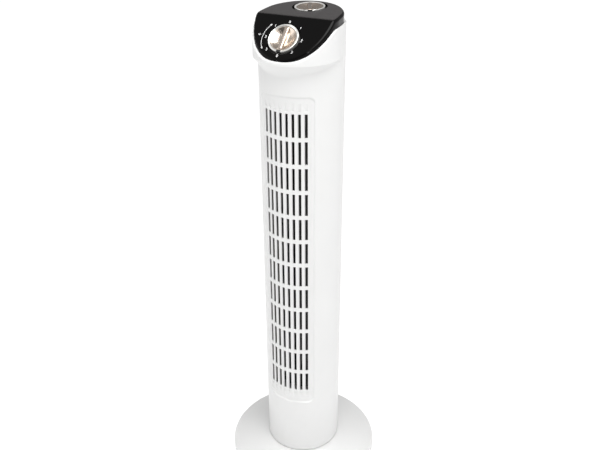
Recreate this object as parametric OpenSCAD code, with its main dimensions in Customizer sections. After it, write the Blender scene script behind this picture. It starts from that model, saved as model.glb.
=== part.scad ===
// Tower fan: a round base, a column that swings on it, a cross-flow impeller behind a slotted
// outlet, and a slanted control head with a selector knob and a timer knob.
// +Z is up, the outlet faces -Y, and the origin is on the floor under the column's axis.

/* [Column] */
// Outer radius of the column
column_r = 60; // [59:0.5:61]
// Height of the head's rear edge above the floor
top_z = 762; // [758:1:766]
// Wall thickness of the main mouldings
wall = 2.8; // [2.6:0.1:3.0]
// Slope of the head's top towards the front, in degrees
top_slope = 4; // [3:0.5:5]
// Slope of the control panel, in degrees
panel_slope = 43; // [42:0.5:44]
// Distance from the column's axis to the upper edge of the control panel
ridge_y = -19.5; // [-20.5:0.5:-18.5]

/* [Base] */
// Outer radius of the base
base_r = 122.5; // [120:0.5:125]
// Height of the base's rim above the floor
rim_z = 19.5; // [19:0.5:20]
// Height of the level middle of the base above the floor
shoulder_z = 34; // [33.8:0.1:34.2]

/* [Outlet] */
// Number of slot rows
slot_rows = 12; // [11:1:12]
// Number of slot columns
slot_columns = 8; // [6:2:8]
// Distance between slot rows
row_pitch = 39.75; // [39:0.25:40]
// Height of one slot
slot_h = 34; // [30:0.5:35]
// Width of one slot
slot_w = 4.1; // [3.6:0.1:4.6]

/* [Impeller] */
// Outer radius of the impeller
impeller_r = 36; // [34:0.5:36.5]
// Number of blades
blades = 30; // [24:2:36]

/* [Swing] */
// Distance from the column's axis to the swing motor's axis
crank_y = 28.5; // [28:0.5:29]
// Throw of the crank that swings the column
crank_throw = 14.75; // [14.5:0.25:15]

/* [Hidden] */
$fn = 96;

// Distances that recur
past = 1;              // how far a cut runs past the face it opens
gap = 0.3;             // clearance between a moving face and a fixed one
slip = 0.06;           // radial clearance of a shaft in its bearing
screw_r = 1.5;         // shank radius of every screw
screw_clear_r = 1.8;   // radius of a hole that a screw passes through
screw_head_r = 3;
screw_head_h = 2.2;
screw_slot_w = 0.9;

// Base
base_edge_z = 4.5;
rim_round = 4;
shoulder_r = 62;
seat_hole_r = 38.3;
collar_r = 47;
collar_z = 26;
plate_t = 2.5;
plate_r = base_r - wall - 0.3;
feet = 5;
foot_ring_r = 103;
foot_r = 9;
foot_stem_r = 4;
boss_ring_r = 95;
boss_r = 4.5;
seat_screw_ring_r = 42.5;
seat_screws_n = 4;
gland_z = 12;
gland_r = 3.2;
gland_neck_r = 4.4;
gland_flange_r = 5.8;
gland_y = base_r - 2;

// Pivot between base and column
stem_r = 10;
spigot_r = 8.5;
spigot_top = 66;
spigot_bore_r = 5;
stem_top = 48;
washer_t = 1.5;
hub_r = 16;
hub_z = stem_top + washer_t + gap;
hub_top = 62;
foot_plate_top = 53;
skirt_out_r = 56.6;
skirt_in_r = 53;
glide_z = 36;
glide_in_r = 49.5;
glide_out_r = 55.5;

// Swing drive: a sleeve on the crank pin slides in a slot of the pivot seat
sleeve_r = 3;
crank_pin_r = 1.6;
sleeve_play = 2;       // room for the sleeve across the slot
slot_floor = 36.5;
arm_top = 42;
arm_half_w = 8.6;
arm_end = 46.5;
crank_z = 42.5;
crank_t = 3;
crank_end_r = 4.5;
swing_shaft_r = 2.5;
swing_motor_r = 20;
swing_motor_z = 67;
swing_motor_h = 16;
swing_ear_x = 25;

// Column
column_z = 35.2;
split_y = 22.5;        // plane between the front shell and the rear cover
split_gap = 0.15;
inner_r = column_r - wall;
lip_shift = 12;        // the lip's front arc is centred this far in front of the axis
lip_r = column_r + 1.2;
flare_z = 677;
flare_top = 703;
flare_start_r = column_r - lip_shift - 1;
seam_low = top_z - 55.5;
seam_high = top_z - 16.7;
seam_slope = 40;
seam_mid_y = -46.3;    // where the seam is halfway up
seam_blend = 3.8;      // how softly the seam's ramp runs into its level ends
cap_inset = wall + 0.1;
head_rear_y = column_r - cap_inset;

// Outlet window and grille
first_row_z = 617.2;
last_row_z = first_row_z - (slot_rows - 1) * row_pitch;
window_half_w = 35.2;
window_z0 = last_row_z - slot_h / 2 - 16;
window_z1 = first_row_z + slot_h / 2 + 16;
recess_half_w = 41;
recess_z0 = window_z0 - 9;
recess_z1 = window_z1 + 9;
recess_r = column_r - 1.6;
grille_r = column_r - 1.8;
grille_in_r = 56;
flange_half_w = 38.5;
flange_out_r = inner_r - 0.2;
flange_in_r = 55;
flange_inner_w = 33.3;  // half width of the opening that the flange frames
flange_margin = 3.5;
column_step = 8.7;     // angle between slot columns
fin_r = 59.3;          // radius at which that angle is measured

// Air intake in the rear cover
intake_rows = 10;
intake_pitch = 50;
intake_z = 152;
intake_h = 42;
intake_w = 5;
intake_step = 10;      // angle between intake columns
intake_edge = 50;      // angle of the outermost intake column

// Decks and impeller
impeller_y = 4;
motor_deck_z = 135.5;
bearing_deck_z = window_z1 + 7;
deck_t = 3;
deck_r = inner_r - 0.4;
impeller_z0 = 150;
impeller_z1 = bearing_deck_z - 16;
impeller_sections = 5;
disc_t = 1.6;
blade_depth = 7;
blade_t = 1.2;
blade_lean = 16;
shaft_r = 4;
pin_r = 3;
impeller_hub_r = 9;
motor_r = 38;
motor_z = 88;
motor_h = 44;
motor_wall = 3;
rotor_r = 20;
rotor_z = motor_z + 10;
rotor_h = 24;
mount_ring_r = 28;
bush_r = 8;
bush_rubber_r = 10.8;
bush_h = 9;
duct_t = 2;
outlet_edge = [33.3, -36.8];
outlet_left = [-32.6, -43];
duct_end = 140;        // angle about the impeller's axis at which the scroll wall ends
tongue_angles = [232, 212, 200];
shell_side_x = -53.5;
harness_at = [-46, -24];
harness_r = 2.5;

// Control head
ridge_z = top_z + (ridge_y - head_rear_y) * tan(top_slope);
ridge_round = 10;
well_floor = 2.5;
selector_x = -3.8;     // the selector sits a little to the left of the panel's middle
selector_y = -46.1;
selector_well_r = 23.3;
selector_depth = 5.8;
timer_y = 26;
timer_well_r = 24;
timer_depth = 7.2;
timer_turn = 26;       // the timer's grip bar points to the front right
timer_body_r = 19;
timer_body_h = 28;
switch_w = 28;
switch_h = 20;
knob_r = 21.2;
knob_lift = 0.5;
knob_h = 7.5;
knob_bar_h = 8;
knob_bar_w = 7;
knob_trim_t = 3.2;
knob_notch_w = 6;
knob_cavity_r = 9;
knob_cavity_h = 2.4;
knob_shaft_r = 3;
knob_bore_h = 5;
bushing_r = 4.5;
bushing_h = 1;

// Screw places
shell_screw_x = 48;
shell_screw_z = [62, 126, 672, 728];
foot_screw_angles = [-50, 0, 50];
deck_screw_angles = [-22, 22];
inner_screw_r = 50;

// Height of the base's upper surface at radius r
function base_top(r) =
    let (t = max(0, (r - shoulder_r) / (base_r - rim_round - shoulder_r)))
    shoulder_z - (shoulder_z - rim_z) * pow(t, 1.3);

// The larger or the smaller of two heights, with a soft change between them
function soft_max(a, b, k) = (a + b + sqrt((a - b) * (a - b) + k * k)) / 2;
function soft_min(a, b, k) = -soft_max(-a, -b, k);

// Height of the edge between column and cap: a ramp between two level ends
function seam(y) =
    let (ramp = (seam_low + seam_high) / 2 + (y - seam_mid_y) * tan(seam_slope))
    soft_max(soft_min(ramp, seam_high, seam_blend), seam_low, seam_blend);

// Heights of the head's top and of the control panel at y
function top_plane(y) = top_z + (y - head_rear_y) * tan(top_slope);
function panel(y) = ridge_z + (y - ridge_y) * tan(panel_slope);

// Radius of the flare under the lip, about the lip's own axis
function flare(t) = flare_start_r + (lip_r - flare_start_r) * (1 - cos(90 * t));

module tube(r_out, r_in, z0, z1) {
    translate([0, 0, z0]) difference() {
        cylinder(r = r_out, h = z1 - z0);
        translate([0, 0, -past]) cylinder(r = r_in, h = z1 - z0 + 2 * past);
    }
}

module around(count, r, start = 0) {
    for (i = [0:count - 1]) rotate(start + i * 360 / count) translate([r, 0, 0]) children();
}

// A screw whose head sits on z = 0, with its shank pointing down
module screw(length) {
    difference() {
        union() {
            cylinder(r = screw_head_r, h = screw_head_h);
            translate([0, 0, -length]) cylinder(r = screw_r, h = length);
        }
        translate([-screw_head_r, -screw_slot_w / 2, screw_head_h - 1])
            cube([2 * screw_head_r, screw_slot_w, 2]);
    }
}

// A round bar from one point to another
module bar_between(a, b, r) {
    d = b - a;
    length = norm(d);
    translate(a) rotate([0, acos(d[2] / length), atan2(d[1], d[0])]) cylinder(r = r, h = length);
}

// ---- Base ----

module base_section(inset) {
    corner_r = base_r - rim_round;
    edge = inset > 0 ? base_edge_z - past : base_edge_z;
    polygon(concat(
        [[0, edge], [base_r - inset, edge]],
        [for (a = [0:15:90])
            [corner_r + (rim_round - inset) * cos(a), rim_z - rim_round + (rim_round - inset) * sin(a)]],
        [for (i = [7:-1:0]) let (r = shoulder_r + (corner_r - shoulder_r) * i / 8)
            [r, base_top(r) - inset]],
        [[0, shoulder_z - inset]]
    ));
}

module base_cover() {
    color("whitesmoke") difference() {
        union() {
            difference() {
                rotate_extrude() base_section(0);
                rotate_extrude() base_section(wall);
            }
            tube(collar_r, seat_hole_r, collar_z, shoulder_z - 1);
            around(feet, boss_ring_r, -90 + 180 / feet)
                translate([0, 0, base_edge_z + plate_t + 0.2])
                    cylinder(r = boss_r, h = base_top(boss_ring_r) - wall - base_edge_z - plate_t);
            intersection() {
                rotate_extrude() base_section(0);
                translate([0, gland_y - 8.5, gland_z]) rotate([-90, 0, 0]) cylinder(r = 8, h = 12);
                translate([-20, 100, base_edge_z + plate_t + 0.3]) cube([40, 30, 30]);
            }
        }
        translate([0, 0, collar_z - past]) cylinder(r = seat_hole_r, h = 20);
        around(feet, boss_ring_r, -90 + 180 / feet) cylinder(r = screw_r, h = base_edge_z + 16);
        around(seat_screws_n, seat_screw_ring_r, 45) translate([0, 0, 20]) cylinder(r = screw_r, h = 11);
        translate([0, gland_y - 20, gland_z]) rotate([-90, 0, 0]) cylinder(r = gland_neck_r + 0.1, h = 30);
        translate([0, gland_y, gland_z]) rotate([-90, 0, 0]) cylinder(r = gland_flange_r + 0.2, h = 10);
    }
}

module base_plate() {
    color("dimgray") difference() {
        translate([0, 0, base_edge_z]) cylinder(r = plate_r, h = plate_t);
        around(feet, foot_ring_r, -90) cylinder(r = foot_stem_r + 0.1, h = 20);
        around(feet, boss_ring_r, -90 + 180 / feet) cylinder(r = screw_clear_r, h = 20);
    }
}

module rubber_feet() {
    color("black") around(feet, foot_ring_r, -90) rotate_extrude()
        polygon([[0, 0], [foot_r - 1, 0], [foot_r, 1], [foot_r, base_edge_z],
            [foot_stem_r, base_edge_z], [foot_stem_r, base_edge_z + plate_t], [0, base_edge_z + plate_t]]);
}

module pivot_seat() {
    color("gainsboro") difference() {
        union() {
            rotate_extrude() polygon([
                [0, 31], [35, 31], [35, collar_z - 3.2], [collar_r, collar_z - 3.2],
                [collar_r, collar_z - 0.2], [38, collar_z - 0.2], [38, shoulder_z],
                [stem_r, shoulder_z], [stem_r, stem_top], [spigot_r, stem_top],
                [spigot_r, spigot_top], [0, spigot_top]]);
            translate([-arm_half_w, 0, shoulder_z - past])
                cube([2 * arm_half_w, arm_end, arm_top - shoulder_z + past]);
        }
        translate([0, 0, 20]) cylinder(r = spigot_bore_r, h = spigot_top);
        translate([-sleeve_r - sleeve_play, stem_r + 0.6, slot_floor])
            cube([2 * (sleeve_r + sleeve_play), arm_end, 10]);
        tube(2 * arm_end, seat_hole_r - 0.25, collar_z, shoulder_z + 0.2);
        around(seat_screws_n, seat_screw_ring_r, 45)
            translate([0, 0, 10]) cylinder(r = screw_clear_r, h = 20);
    }
}

module glide_ring() {
    color("ivory") tube(glide_out_r, glide_in_r, shoulder_z, glide_z);
}

module thrust_washer() {
    color("ivory") tube(hub_r - 1, spigot_r + slip, stem_top, stem_top + washer_t);
}

module retaining_nut() {
    color("silver") difference() {
        translate([0, 0, hub_top + gap]) cylinder(r = 14, h = 4, $fn = 6);
        cylinder(r = spigot_r + slip, h = 100);
    }
}

module cord_grommet() {
    color("black") translate([0, gland_y, gland_z]) rotate([-90, 0, 0]) rotate_extrude()
        polygon([[gland_r, -11], [gland_neck_r + 0.6, -11], [gland_neck_r + 0.6, -9],
            [gland_neck_r, -8.6], [gland_neck_r, 0.1], [gland_flange_r, 0.1], [gland_flange_r, 0.7],
            [gland_neck_r, 1.6], [gland_r, 1.6]]);
}

module base_screws() {
    color("silver") around(feet, boss_ring_r, -90 + 180 / feet)
        translate([0, 0, base_edge_z]) mirror([0, 0, 1]) screw(14);
}

module seat_screws() {
    color("silver") around(seat_screws_n, seat_screw_ring_r, 45)
        translate([0, 0, collar_z - 3.2]) mirror([0, 0, 1]) screw(8);
}

// ---- Column structure ----

module column_foot() {
    color("gainsboro") difference() {
        union() {
            translate([0, 0, hub_z]) cylinder(r = skirt_out_r, h = foot_plate_top - hub_z);
            tube(skirt_out_r, skirt_in_r, glide_z + gap, foot_plate_top);
            translate([0, 0, hub_z]) cylinder(r = hub_r, h = hub_top - hub_z);
            for (x = [-swing_ear_x, swing_ear_x])
                translate([x, crank_y, hub_z]) cylinder(r = 3.5, h = swing_motor_z - hub_z);
        }
        cylinder(r = spigot_r + slip, h = 100);
        translate([0, crank_y, 0]) cylinder(r = swing_shaft_r + 2, h = 100);
        for (x = [-swing_ear_x, swing_ear_x]) translate([x, crank_y, 0]) cylinder(r = screw_r, h = 100);
        for (a = foot_screw_angles)
            rotate(a) translate([0, -inner_screw_r, 0]) cylinder(r = screw_clear_r, h = 100);
    }
}

// Lug inside the shell wall that takes an upright screw
module shell_lug(angle, z0, z1) {
    intersection() {
        cylinder(r = column_r - 1, h = top_z);
        rotate(angle) translate([-5, -column_r, z0]) cube([10, column_r - inner_screw_r + 5, z1 - z0]);
    }
}

// Solid outline of the column with its flared lip, grown or shrunk by inset
module column_form(inset) {
    translate([0, 0, column_z - (inset > 0 ? past : 0)]) cylinder(r = column_r - inset, h = top_z);
    translate([0, -lip_shift, 0]) rotate_extrude() polygon(concat(
        [[0, flare_z]],
        [for (i = [0:6]) [flare(i / 6) - inset, flare_z + (flare_top - flare_z) * i / 6]],
        [[lip_r - inset, top_z + 2], [0, top_z + 2]]
    ));
    lip_bridge(inset, flare_top, top_z + 2);
}

// Fills the corner between the column's circle and the lip's front circle
module lip_bridge(inset, z0, z1) {
    ny = (lip_r - column_r) / lip_shift;
    nx = sqrt(1 - ny * ny);
    a = column_r - inset;
    b = lip_r - inset;
    translate([0, 0, z0]) linear_extrude(z1 - z0)
        polygon([[-a * nx, a * ny], [-b * nx, b * ny - lip_shift],
            [b * nx, b * ny - lip_shift], [a * nx, a * ny]]);
}

// A side view outline in Y and Z, run across the whole width
module across(points) {
    translate([-80, 0, 0]) rotate([90, 0, 90]) linear_extrude(160) polygon(points);
}

// Everything under the seam, lowered by drop
module under_seam(drop) {
    across(concat(
        [[80, 0], [80, seam(80) - drop]],
        [for (y = [20:-4:-76]) [y, seam(y) - drop]],
        [[-80, seam(-80) - drop], [-80, 0]]
    ));
}

module front_shell() {
    color("white") difference() {
        union() {
            difference() {
                intersection() {
                    column_form(0);
                    under_seam(0);
                    translate([-90, -90, 0]) cube([180, 90 + split_y - split_gap, top_z]);
                }
                column_form(wall);
            }
            for (x = [-1, 1], z = shell_screw_z) intersection() {
                cylinder(r = column_r - 1, h = top_z);
                translate([x * (shell_screw_x + 4) - 8, split_y - 14, z - 4]) cube([16, 13.5, 8]);
            }
            for (a = foot_screw_angles) shell_lug(a, foot_plate_top + 0.3, foot_plate_top + 12);
            for (a = deck_screw_angles) {
                shell_lug(a, motor_deck_z - 12, motor_deck_z - 0.2);
                shell_lug(a, bearing_deck_z + deck_t + 0.2, bearing_deck_z + deck_t + 12);
            }
        }
        translate([-window_half_w, -90, window_z0]) cube([2 * window_half_w, 80, window_z1 - window_z0]);
        difference() {
            translate([-recess_half_w, -90, recess_z0]) cube([2 * recess_half_w, 80, recess_z1 - recess_z0]);
            cylinder(r = recess_r, h = top_z);
        }
        for (x = [-1, 1], z = shell_screw_z)
            translate([x * shell_screw_x, 0, z]) rotate([-90, 0, 0]) cylinder(r = screw_r, h = split_y);
        for (a = foot_screw_angles, z = [40, foot_plate_top])
            rotate(a) translate([0, -inner_screw_r, z]) cylinder(r = screw_r, h = 10);
        for (a = deck_screw_angles) rotate(a) translate([0, -inner_screw_r, 0]) {
            translate([0, 0, motor_deck_z - 11]) cylinder(r = screw_r, h = 20);
            translate([0, 0, bearing_deck_z]) cylinder(r = screw_r, h = 13);
        }
    }
}

module rear_cover() {
    color("white") difference() {
        union() {
            difference() {
                translate([0, 0, column_z]) cylinder(r = column_r, h = seam_high - column_z);
                cylinder(r = inner_r, h = top_z + 10);
            }
            for (x = [-1, 1], z = shell_screw_z) intersection() {
                cylinder(r = column_r - 1, h = top_z);
                translate([x * shell_screw_x - 4.5, split_y, z - 4.5]) cube([9, 20, 9]);
            }
        }
        translate([-90, -90, 0]) cube([180, 90 + split_y + split_gap, top_z]);
        for (a = [-intake_edge:intake_step:intake_edge], i = [0:intake_rows - 1])
            translate([column_r * sin(a) - intake_w / 2, split_y + 2, intake_z + i * intake_pitch])
                cube([intake_w, column_r, intake_h]);
        for (x = [-1, 1], z = shell_screw_z) translate([x * shell_screw_x, 0, z]) rotate([-90, 0, 0]) {
            cylinder(r = screw_clear_r, h = 90);
            translate([0, 0, split_y + 5]) cylinder(r = screw_head_r + 0.4, h = 90);
        }
    }
}

module outlet_grille() {
    color("white") difference() {
        union() {
            intersection() {
                tube(grille_r, grille_in_r, window_z0 + 0.2, window_z1 - 0.2);
                translate([-window_half_w + 0.2, -90, 0]) cube([2 * window_half_w - 0.4, 90, top_z]);
            }
            difference() {
                intersection() {
                    tube(flange_out_r, flange_in_r, window_z0 - flange_margin, window_z1 + flange_margin);
                    translate([-flange_half_w, -90, 0]) cube([2 * flange_half_w, 90, top_z]);
                }
                translate([-flange_inner_w, -90, window_z0 + 2])
                    cube([2 * flange_inner_w, 90, window_z1 - window_z0 - 4]);
            }
        }
        for (c = [0:slot_columns - 1], k = [0:slot_rows - 1]) {
            x = fin_r * sin((c - (slot_columns - 1) / 2) * column_step);
            translate([x - slot_w / 2, -90, last_row_z + k * row_pitch - slot_h / 2])
                cube([slot_w, 80, slot_h]);
        }
    }
}

// Scroll wall: the gap to the impeller closes from the outlet round to the rear
module air_duct() {
    start_a = atan2(outlet_edge[1] - impeller_y, outlet_edge[0]);
    start_d = norm([outlet_edge[0], outlet_edge[1] - impeller_y]);
    end_d = impeller_r + 2.5;
    steps = 24;
    path = [for (i = [0:steps])
        [start_a + (duct_end - start_a) * i / steps, start_d + (end_d - start_d) * i / steps]];
    color("dimgray") translate([0, impeller_y, motor_deck_z + deck_t + 0.2])
        linear_extrude(bearing_deck_z - motor_deck_z - deck_t - 0.4) polygon(concat(
            [for (p = path) p[1] * [cos(p[0]), sin(p[0])]],
            [for (i = [steps:-1:0]) (path[i][1] + duct_t) * [cos(path[i][0]), sin(path[i][0])]]
        ));
}

// Left wall of the outlet, with the tongue that parts the inflow from the outflow
module stabilizer() {
    near = impeller_r + 3;
    front = [for (a = tongue_angles) [near * cos(a), impeller_y + near * sin(a)]];
    back = [front[0] - [1.2 * duct_t, 0.3], front[1] - [0.8 * duct_t, 1.2], front[2] - [0.7 * duct_t, 1.6]];
    color("dimgray") translate([0, 0, motor_deck_z + deck_t + 0.2])
        linear_extrude(bearing_deck_z - motor_deck_z - deck_t - 0.4) polygon([
            outlet_left, front[0], front[1], front[2], [shell_side_x, -4], [shell_side_x, -4 - duct_t],
            back[2], back[1], back[0], outlet_left - [0.9 * duct_t, -0.9]
        ]);
}

module motor_deck() {
    color("gainsboro") difference() {
        translate([0, 0, motor_deck_z]) cylinder(r = deck_r, h = deck_t);
        translate([0, impeller_y, 0]) cylinder(r = shaft_r + 3, h = top_z);
        translate([harness_at[0], harness_at[1], 0]) cylinder(r = harness_r + 1, h = top_z);
        translate([0, impeller_y, 0]) around(4, mount_ring_r, 45) cylinder(r = screw_clear_r, h = top_z);
        for (a = deck_screw_angles)
            rotate(a) translate([0, -inner_screw_r, 0]) cylinder(r = screw_clear_r, h = top_z);
    }
}

module bearing_deck() {
    cup_z = bearing_deck_z - bush_h - 1;
    color("gainsboro") difference() {
        union() {
            translate([0, 0, bearing_deck_z]) cylinder(r = deck_r, h = deck_t);
            translate([0, impeller_y, cup_z]) cylinder(r = bush_rubber_r + 2.5, h = bush_h + 2);
        }
        translate([0, impeller_y, cup_z - past]) cylinder(r = bush_rubber_r, h = bush_h + past);
        translate([0, impeller_y, 0]) cylinder(r = pin_r + 1, h = bearing_deck_z + 1);
        translate([harness_at[0], harness_at[1], 0]) cylinder(r = harness_r + 1, h = top_z);
        for (a = deck_screw_angles)
            rotate(a) translate([0, -inner_screw_r, 0]) cylinder(r = screw_clear_r, h = top_z);
    }
}

module bearing_rubber() {
    color("black") translate([0, impeller_y, 0])
        tube(bush_rubber_r - 0.05, bush_r + 0.05, bearing_deck_z - bush_h - 1, bearing_deck_z - 1.5);
}

module bearing_bush() {
    color("goldenrod") translate([0, impeller_y, 0])
        tube(bush_r, pin_r + slip, bearing_deck_z - bush_h - 1, bearing_deck_z - 1.5);
}

// ---- Motors and wiring ----

module motor_housing() {
    color("silver") translate([0, impeller_y, motor_z]) difference() {
        cylinder(r = motor_r, h = motor_h);
        translate([0, 0, motor_wall]) cylinder(r = motor_r - motor_wall, h = motor_h - 2 * motor_wall);
        translate([0, 0, -past]) cylinder(r = shaft_r + slip, h = motor_h + 2 * past);
    }
}

module motor_stator() {
    teeth = 8;
    color("peru") translate([0, impeller_y, 0]) {
        tube(motor_r - motor_wall - 0.2, rotor_r + 8, rotor_z, rotor_z + rotor_h);
        around(teeth, 0) translate([rotor_r + 0.6, -4, rotor_z + 1]) cube([8, 8, rotor_h - 2]);
    }
}

module motor_mounts() {
    color("black") translate([0, impeller_y, 0]) around(4, mount_ring_r, 45)
        tube(6, screw_clear_r, motor_z + motor_h + 0.05, motor_deck_z - 0.05);
}

module capacitor() {
    color("whitesmoke") difference() {
        translate([-18, -52.5, 92]) cube([36, 14, 26]);
        translate([-16, -53.5, 116]) cube([32, 16, 4]);
    }
}

module swing_motor() {
    color("silver") difference() {
        union() {
            translate([0, crank_y, swing_motor_z + 0.1]) cylinder(r = swing_motor_r, h = swing_motor_h);
            for (x = [-swing_ear_x, swing_ear_x])
                translate([x, crank_y, swing_motor_z + 0.1]) cylinder(r = 4.5, h = 1.5);
            translate([-swing_ear_x, crank_y - 4.5, swing_motor_z + 0.1]) cube([2 * swing_ear_x, 9, 1.5]);
        }
        translate([0, crank_y, swing_motor_z - past]) cylinder(r = swing_shaft_r + slip, h = 8);
        for (x = [-swing_ear_x, swing_ear_x]) translate([x, crank_y, 0]) cylinder(r = screw_clear_r, h = 100);
    }
}

module swing_motor_screws() {
    color("silver") for (x = [-swing_ear_x, swing_ear_x])
        translate([x, crank_y, swing_motor_z + 1.7]) screw(8);
}

module terminal_block() {
    poles = 4;
    color("ivory") difference() {
        translate([-16, -42, foot_plate_top + 0.1]) cube([32, 11, 13]);
        for (i = [0:poles - 1]) translate([-12 + 8 * i, -36.5, foot_plate_top + 5]) cylinder(r = 2, h = 20);
    }
}

module wire_harness() {
    x = harness_at[0];
    y = harness_at[1];
    low = [x, y, 84];
    high = [x, y, 690];
    color("black") {
        bar_between([-20, -36, foot_plate_top + 17], low, harness_r);
        bar_between(low, high, harness_r);
        bar_between(high, [-22.6, -36, 704], harness_r);
    }
}

// ---- Control head ----

// Puts its children on the panel at the selector's place, with +Z pointing out of the panel
module on_panel(depth = 0) {
    translate([selector_x, selector_y, panel(selector_y)]) rotate([panel_slope, 0, 0])
        translate([0, 0, -depth]) children();
}

// Puts its children on the head's top at the timer's place
module on_top(depth = 0) {
    translate([0, timer_y, top_plane(timer_y)]) rotate([top_slope, 0, 0])
        translate([0, 0, -depth]) children();
}

module cap_plan(inset, z0, z1) {
    translate([0, 0, z0]) cylinder(r = column_r - inset, h = z1 - z0);
    translate([0, -lip_shift, z0]) cylinder(r = lip_r - inset, h = z1 - z0);
    lip_bridge(inset, z0, z1);
}

// Side view of the head's upper surface from rear to front, moved inwards by depth
function head_line(depth) =
    let (
        drop_top = depth / cos(top_slope),
        drop_panel = depth / cos(panel_slope),
        corner_y = ridge_y + (drop_panel - drop_top) / (tan(panel_slope) - tan(top_slope)),
        corner_z = top_plane(corner_y) - drop_top,
        bend = panel_slope - top_slope,
        radius = ridge_round - depth,
        centre = [corner_y, corner_z]
            + radius / cos(bend / 2) * [sin(top_slope + bend / 2), -cos(top_slope + bend / 2)]
    )
    concat(
        [[80, top_plane(80) - drop_top]],
        [for (i = [0:6]) let (a = top_slope + bend * i / 6) centre + radius * [-sin(a), cos(a)]],
        [[-90, panel(-90) - drop_panel]]
    );

module knob_well(r, depth) {
    translate([0, 0, -depth - well_floor]) cylinder(r = r + well_floor, h = depth + well_floor - 1);
}

module knob_well_cut(r, depth) {
    translate([0, 0, -depth]) cylinder(r = r, h = 30);
    translate([0, 0, -depth - 10]) cylinder(r = bushing_r + 0.2, h = 20);
}

module control_cap() {
    skirt = 4;
    color([0.08, 0.08, 0.08]) difference() {
        union() {
            difference() {
                intersection() {
                    cap_plan(cap_inset, seam_low - 20, top_z + 5);
                    across(concat(
                        [[80, seam(80) - skirt]],
                        head_line(0),
                        [for (y = [-74:4:22]) [y, seam(y) - skirt]]
                    ));
                }
                intersection() {
                    cap_plan(cap_inset + wall, seam_low - 30, top_z + 5);
                    across(concat(head_line(wall), [[-90, 600], [80, 600]]));
                }
            }
            on_panel() knob_well(selector_well_r, selector_depth);
            on_top() knob_well(timer_well_r, timer_depth);
        }
        on_panel() knob_well_cut(selector_well_r, selector_depth);
        on_top() knob_well_cut(timer_well_r, timer_depth);
    }
}

module selector_switch() {
    color("dimgray") on_panel(selector_depth) difference() {
        union() {
            translate([-switch_w / 2, -switch_w / 2, -switch_h])
                cube([switch_w, switch_w, switch_h - well_floor - 0.2]);
            translate([0, 0, -well_floor - past])
                cylinder(r = bushing_r, h = well_floor + past + bushing_h);
        }
        translate([0, 0, -16]) cylinder(r = knob_shaft_r + slip, h = 30);
    }
}

module timer_unit() {
    body_top = -well_floor - 0.2;
    color("silver") on_top(timer_depth) difference() {
        union() {
            translate([0, 0, body_top - timer_body_h]) cylinder(r = timer_body_r, h = timer_body_h);
            translate([0, 0, body_top - past]) cylinder(r = bushing_r, h = bushing_h - body_top + past);
        }
        translate([0, 0, body_top - 18]) cylinder(r = knob_shaft_r + slip, h = 40);
    }
}

module switch_nut() {
    translate([0, 0, 0.1]) difference() {
        cylinder(r = 7, h = 1.8, $fn = 6);
        translate([0, 0, -past]) cylinder(r = bushing_r + 0.05, h = 5);
    }
}

module switch_nuts() {
    color("silver") {
        on_panel(selector_depth) switch_nut();
        on_top(timer_depth) switch_nut();
    }
}

// Knob moulding: a dished face inside the trim ring, crossed by a grip bar
module knob_body() {
    face_r = knob_r - knob_trim_t - 0.05;
    difference() {
        union() {
            rotate_extrude() polygon(concat(
                [[0, 0], [face_r, 0], [face_r, knob_h - 0.6]],
                [for (t = [0:0.25:1]) [face_r - 1 - (face_r - 8) * t, knob_h - 0.6 - 2.6 * sin(90 * t)]],
                [[0, knob_h - 3.2]]
            ));
            translate([-knob_bar_w / 2, -face_r + 1, 1]) cube([knob_bar_w, 2 * face_r - 2, knob_bar_h - 1]);
        }
        translate([0, 0, -past]) cylinder(r = knob_cavity_r, h = past + knob_cavity_h);
        translate([0, 0, -past]) cylinder(r = knob_shaft_r + 0.03, h = past + knob_bore_h);
    }
}

module knob_trim() {
    difference() {
        rotate_extrude() polygon([
            [knob_r - knob_trim_t, 0], [knob_r, 0], [knob_r, knob_h - 1], [knob_r - 0.8, knob_h],
            [knob_r - 1.6, knob_h], [knob_r - knob_trim_t, knob_h - 0.6]]);
        translate([-knob_notch_w / 2, -knob_r - past, knob_h - 4]) cube([knob_notch_w, 6, 10]);
    }
}

module knob_shaft(below) {
    translate([0, 0, -below]) cylinder(r = knob_shaft_r, h = below + knob_lift + knob_bore_h - 0.2);
}

module selector_knob() {
    color("silver") on_panel(selector_depth - knob_lift) knob_body();
}

module selector_trim() {
    color("white") on_panel(selector_depth - knob_lift) knob_trim();
}

module selector_shaft() {
    color("gray") on_panel(selector_depth) knob_shaft(15);
}

module timer_knob() {
    color("silver") on_top(timer_depth - knob_lift) rotate(timer_turn) knob_body();
}

module timer_trim() {
    color("white") on_top(timer_depth - knob_lift) rotate(timer_turn) knob_trim();
}

module timer_shaft() {
    color("gray") on_top(timer_depth) knob_shaft(20);
}

// ---- Screws of the column ----

module shell_screws() {
    color("silver") for (x = [-1, 1], z = shell_screw_z)
        translate([x * shell_screw_x, split_y + 5, z]) rotate([-90, 0, 0]) screw(16);
}

module foot_screws() {
    color("silver") for (a = foot_screw_angles) rotate(a)
        translate([0, -inner_screw_r, hub_z]) mirror([0, 0, 1]) screw(12);
}

module deck_screws() {
    color("silver") for (a = deck_screw_angles) rotate(a) translate([0, -inner_screw_r, 0]) {
        translate([0, 0, motor_deck_z + deck_t]) screw(12);
        translate([0, 0, bearing_deck_z]) mirror([0, 0, 1]) screw(12);
    }
}

// ---- Impeller and its shaft ----

module blade_section() {
    steps = 4;
    inner = impeller_r - blade_depth;
    line = [for (i = [0:steps]) let (t = i / steps) [inner + blade_depth * t, blade_lean * t * t]];
    polygon(concat(
        [for (p = line) p[0] * [cos(p[1]), sin(p[1])]],
        [for (i = [steps:-1:0]) let (p = line[i]) p[0] * [cos(p[1]), sin(p[1])] + [0, blade_t]]
    ));
}

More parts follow.
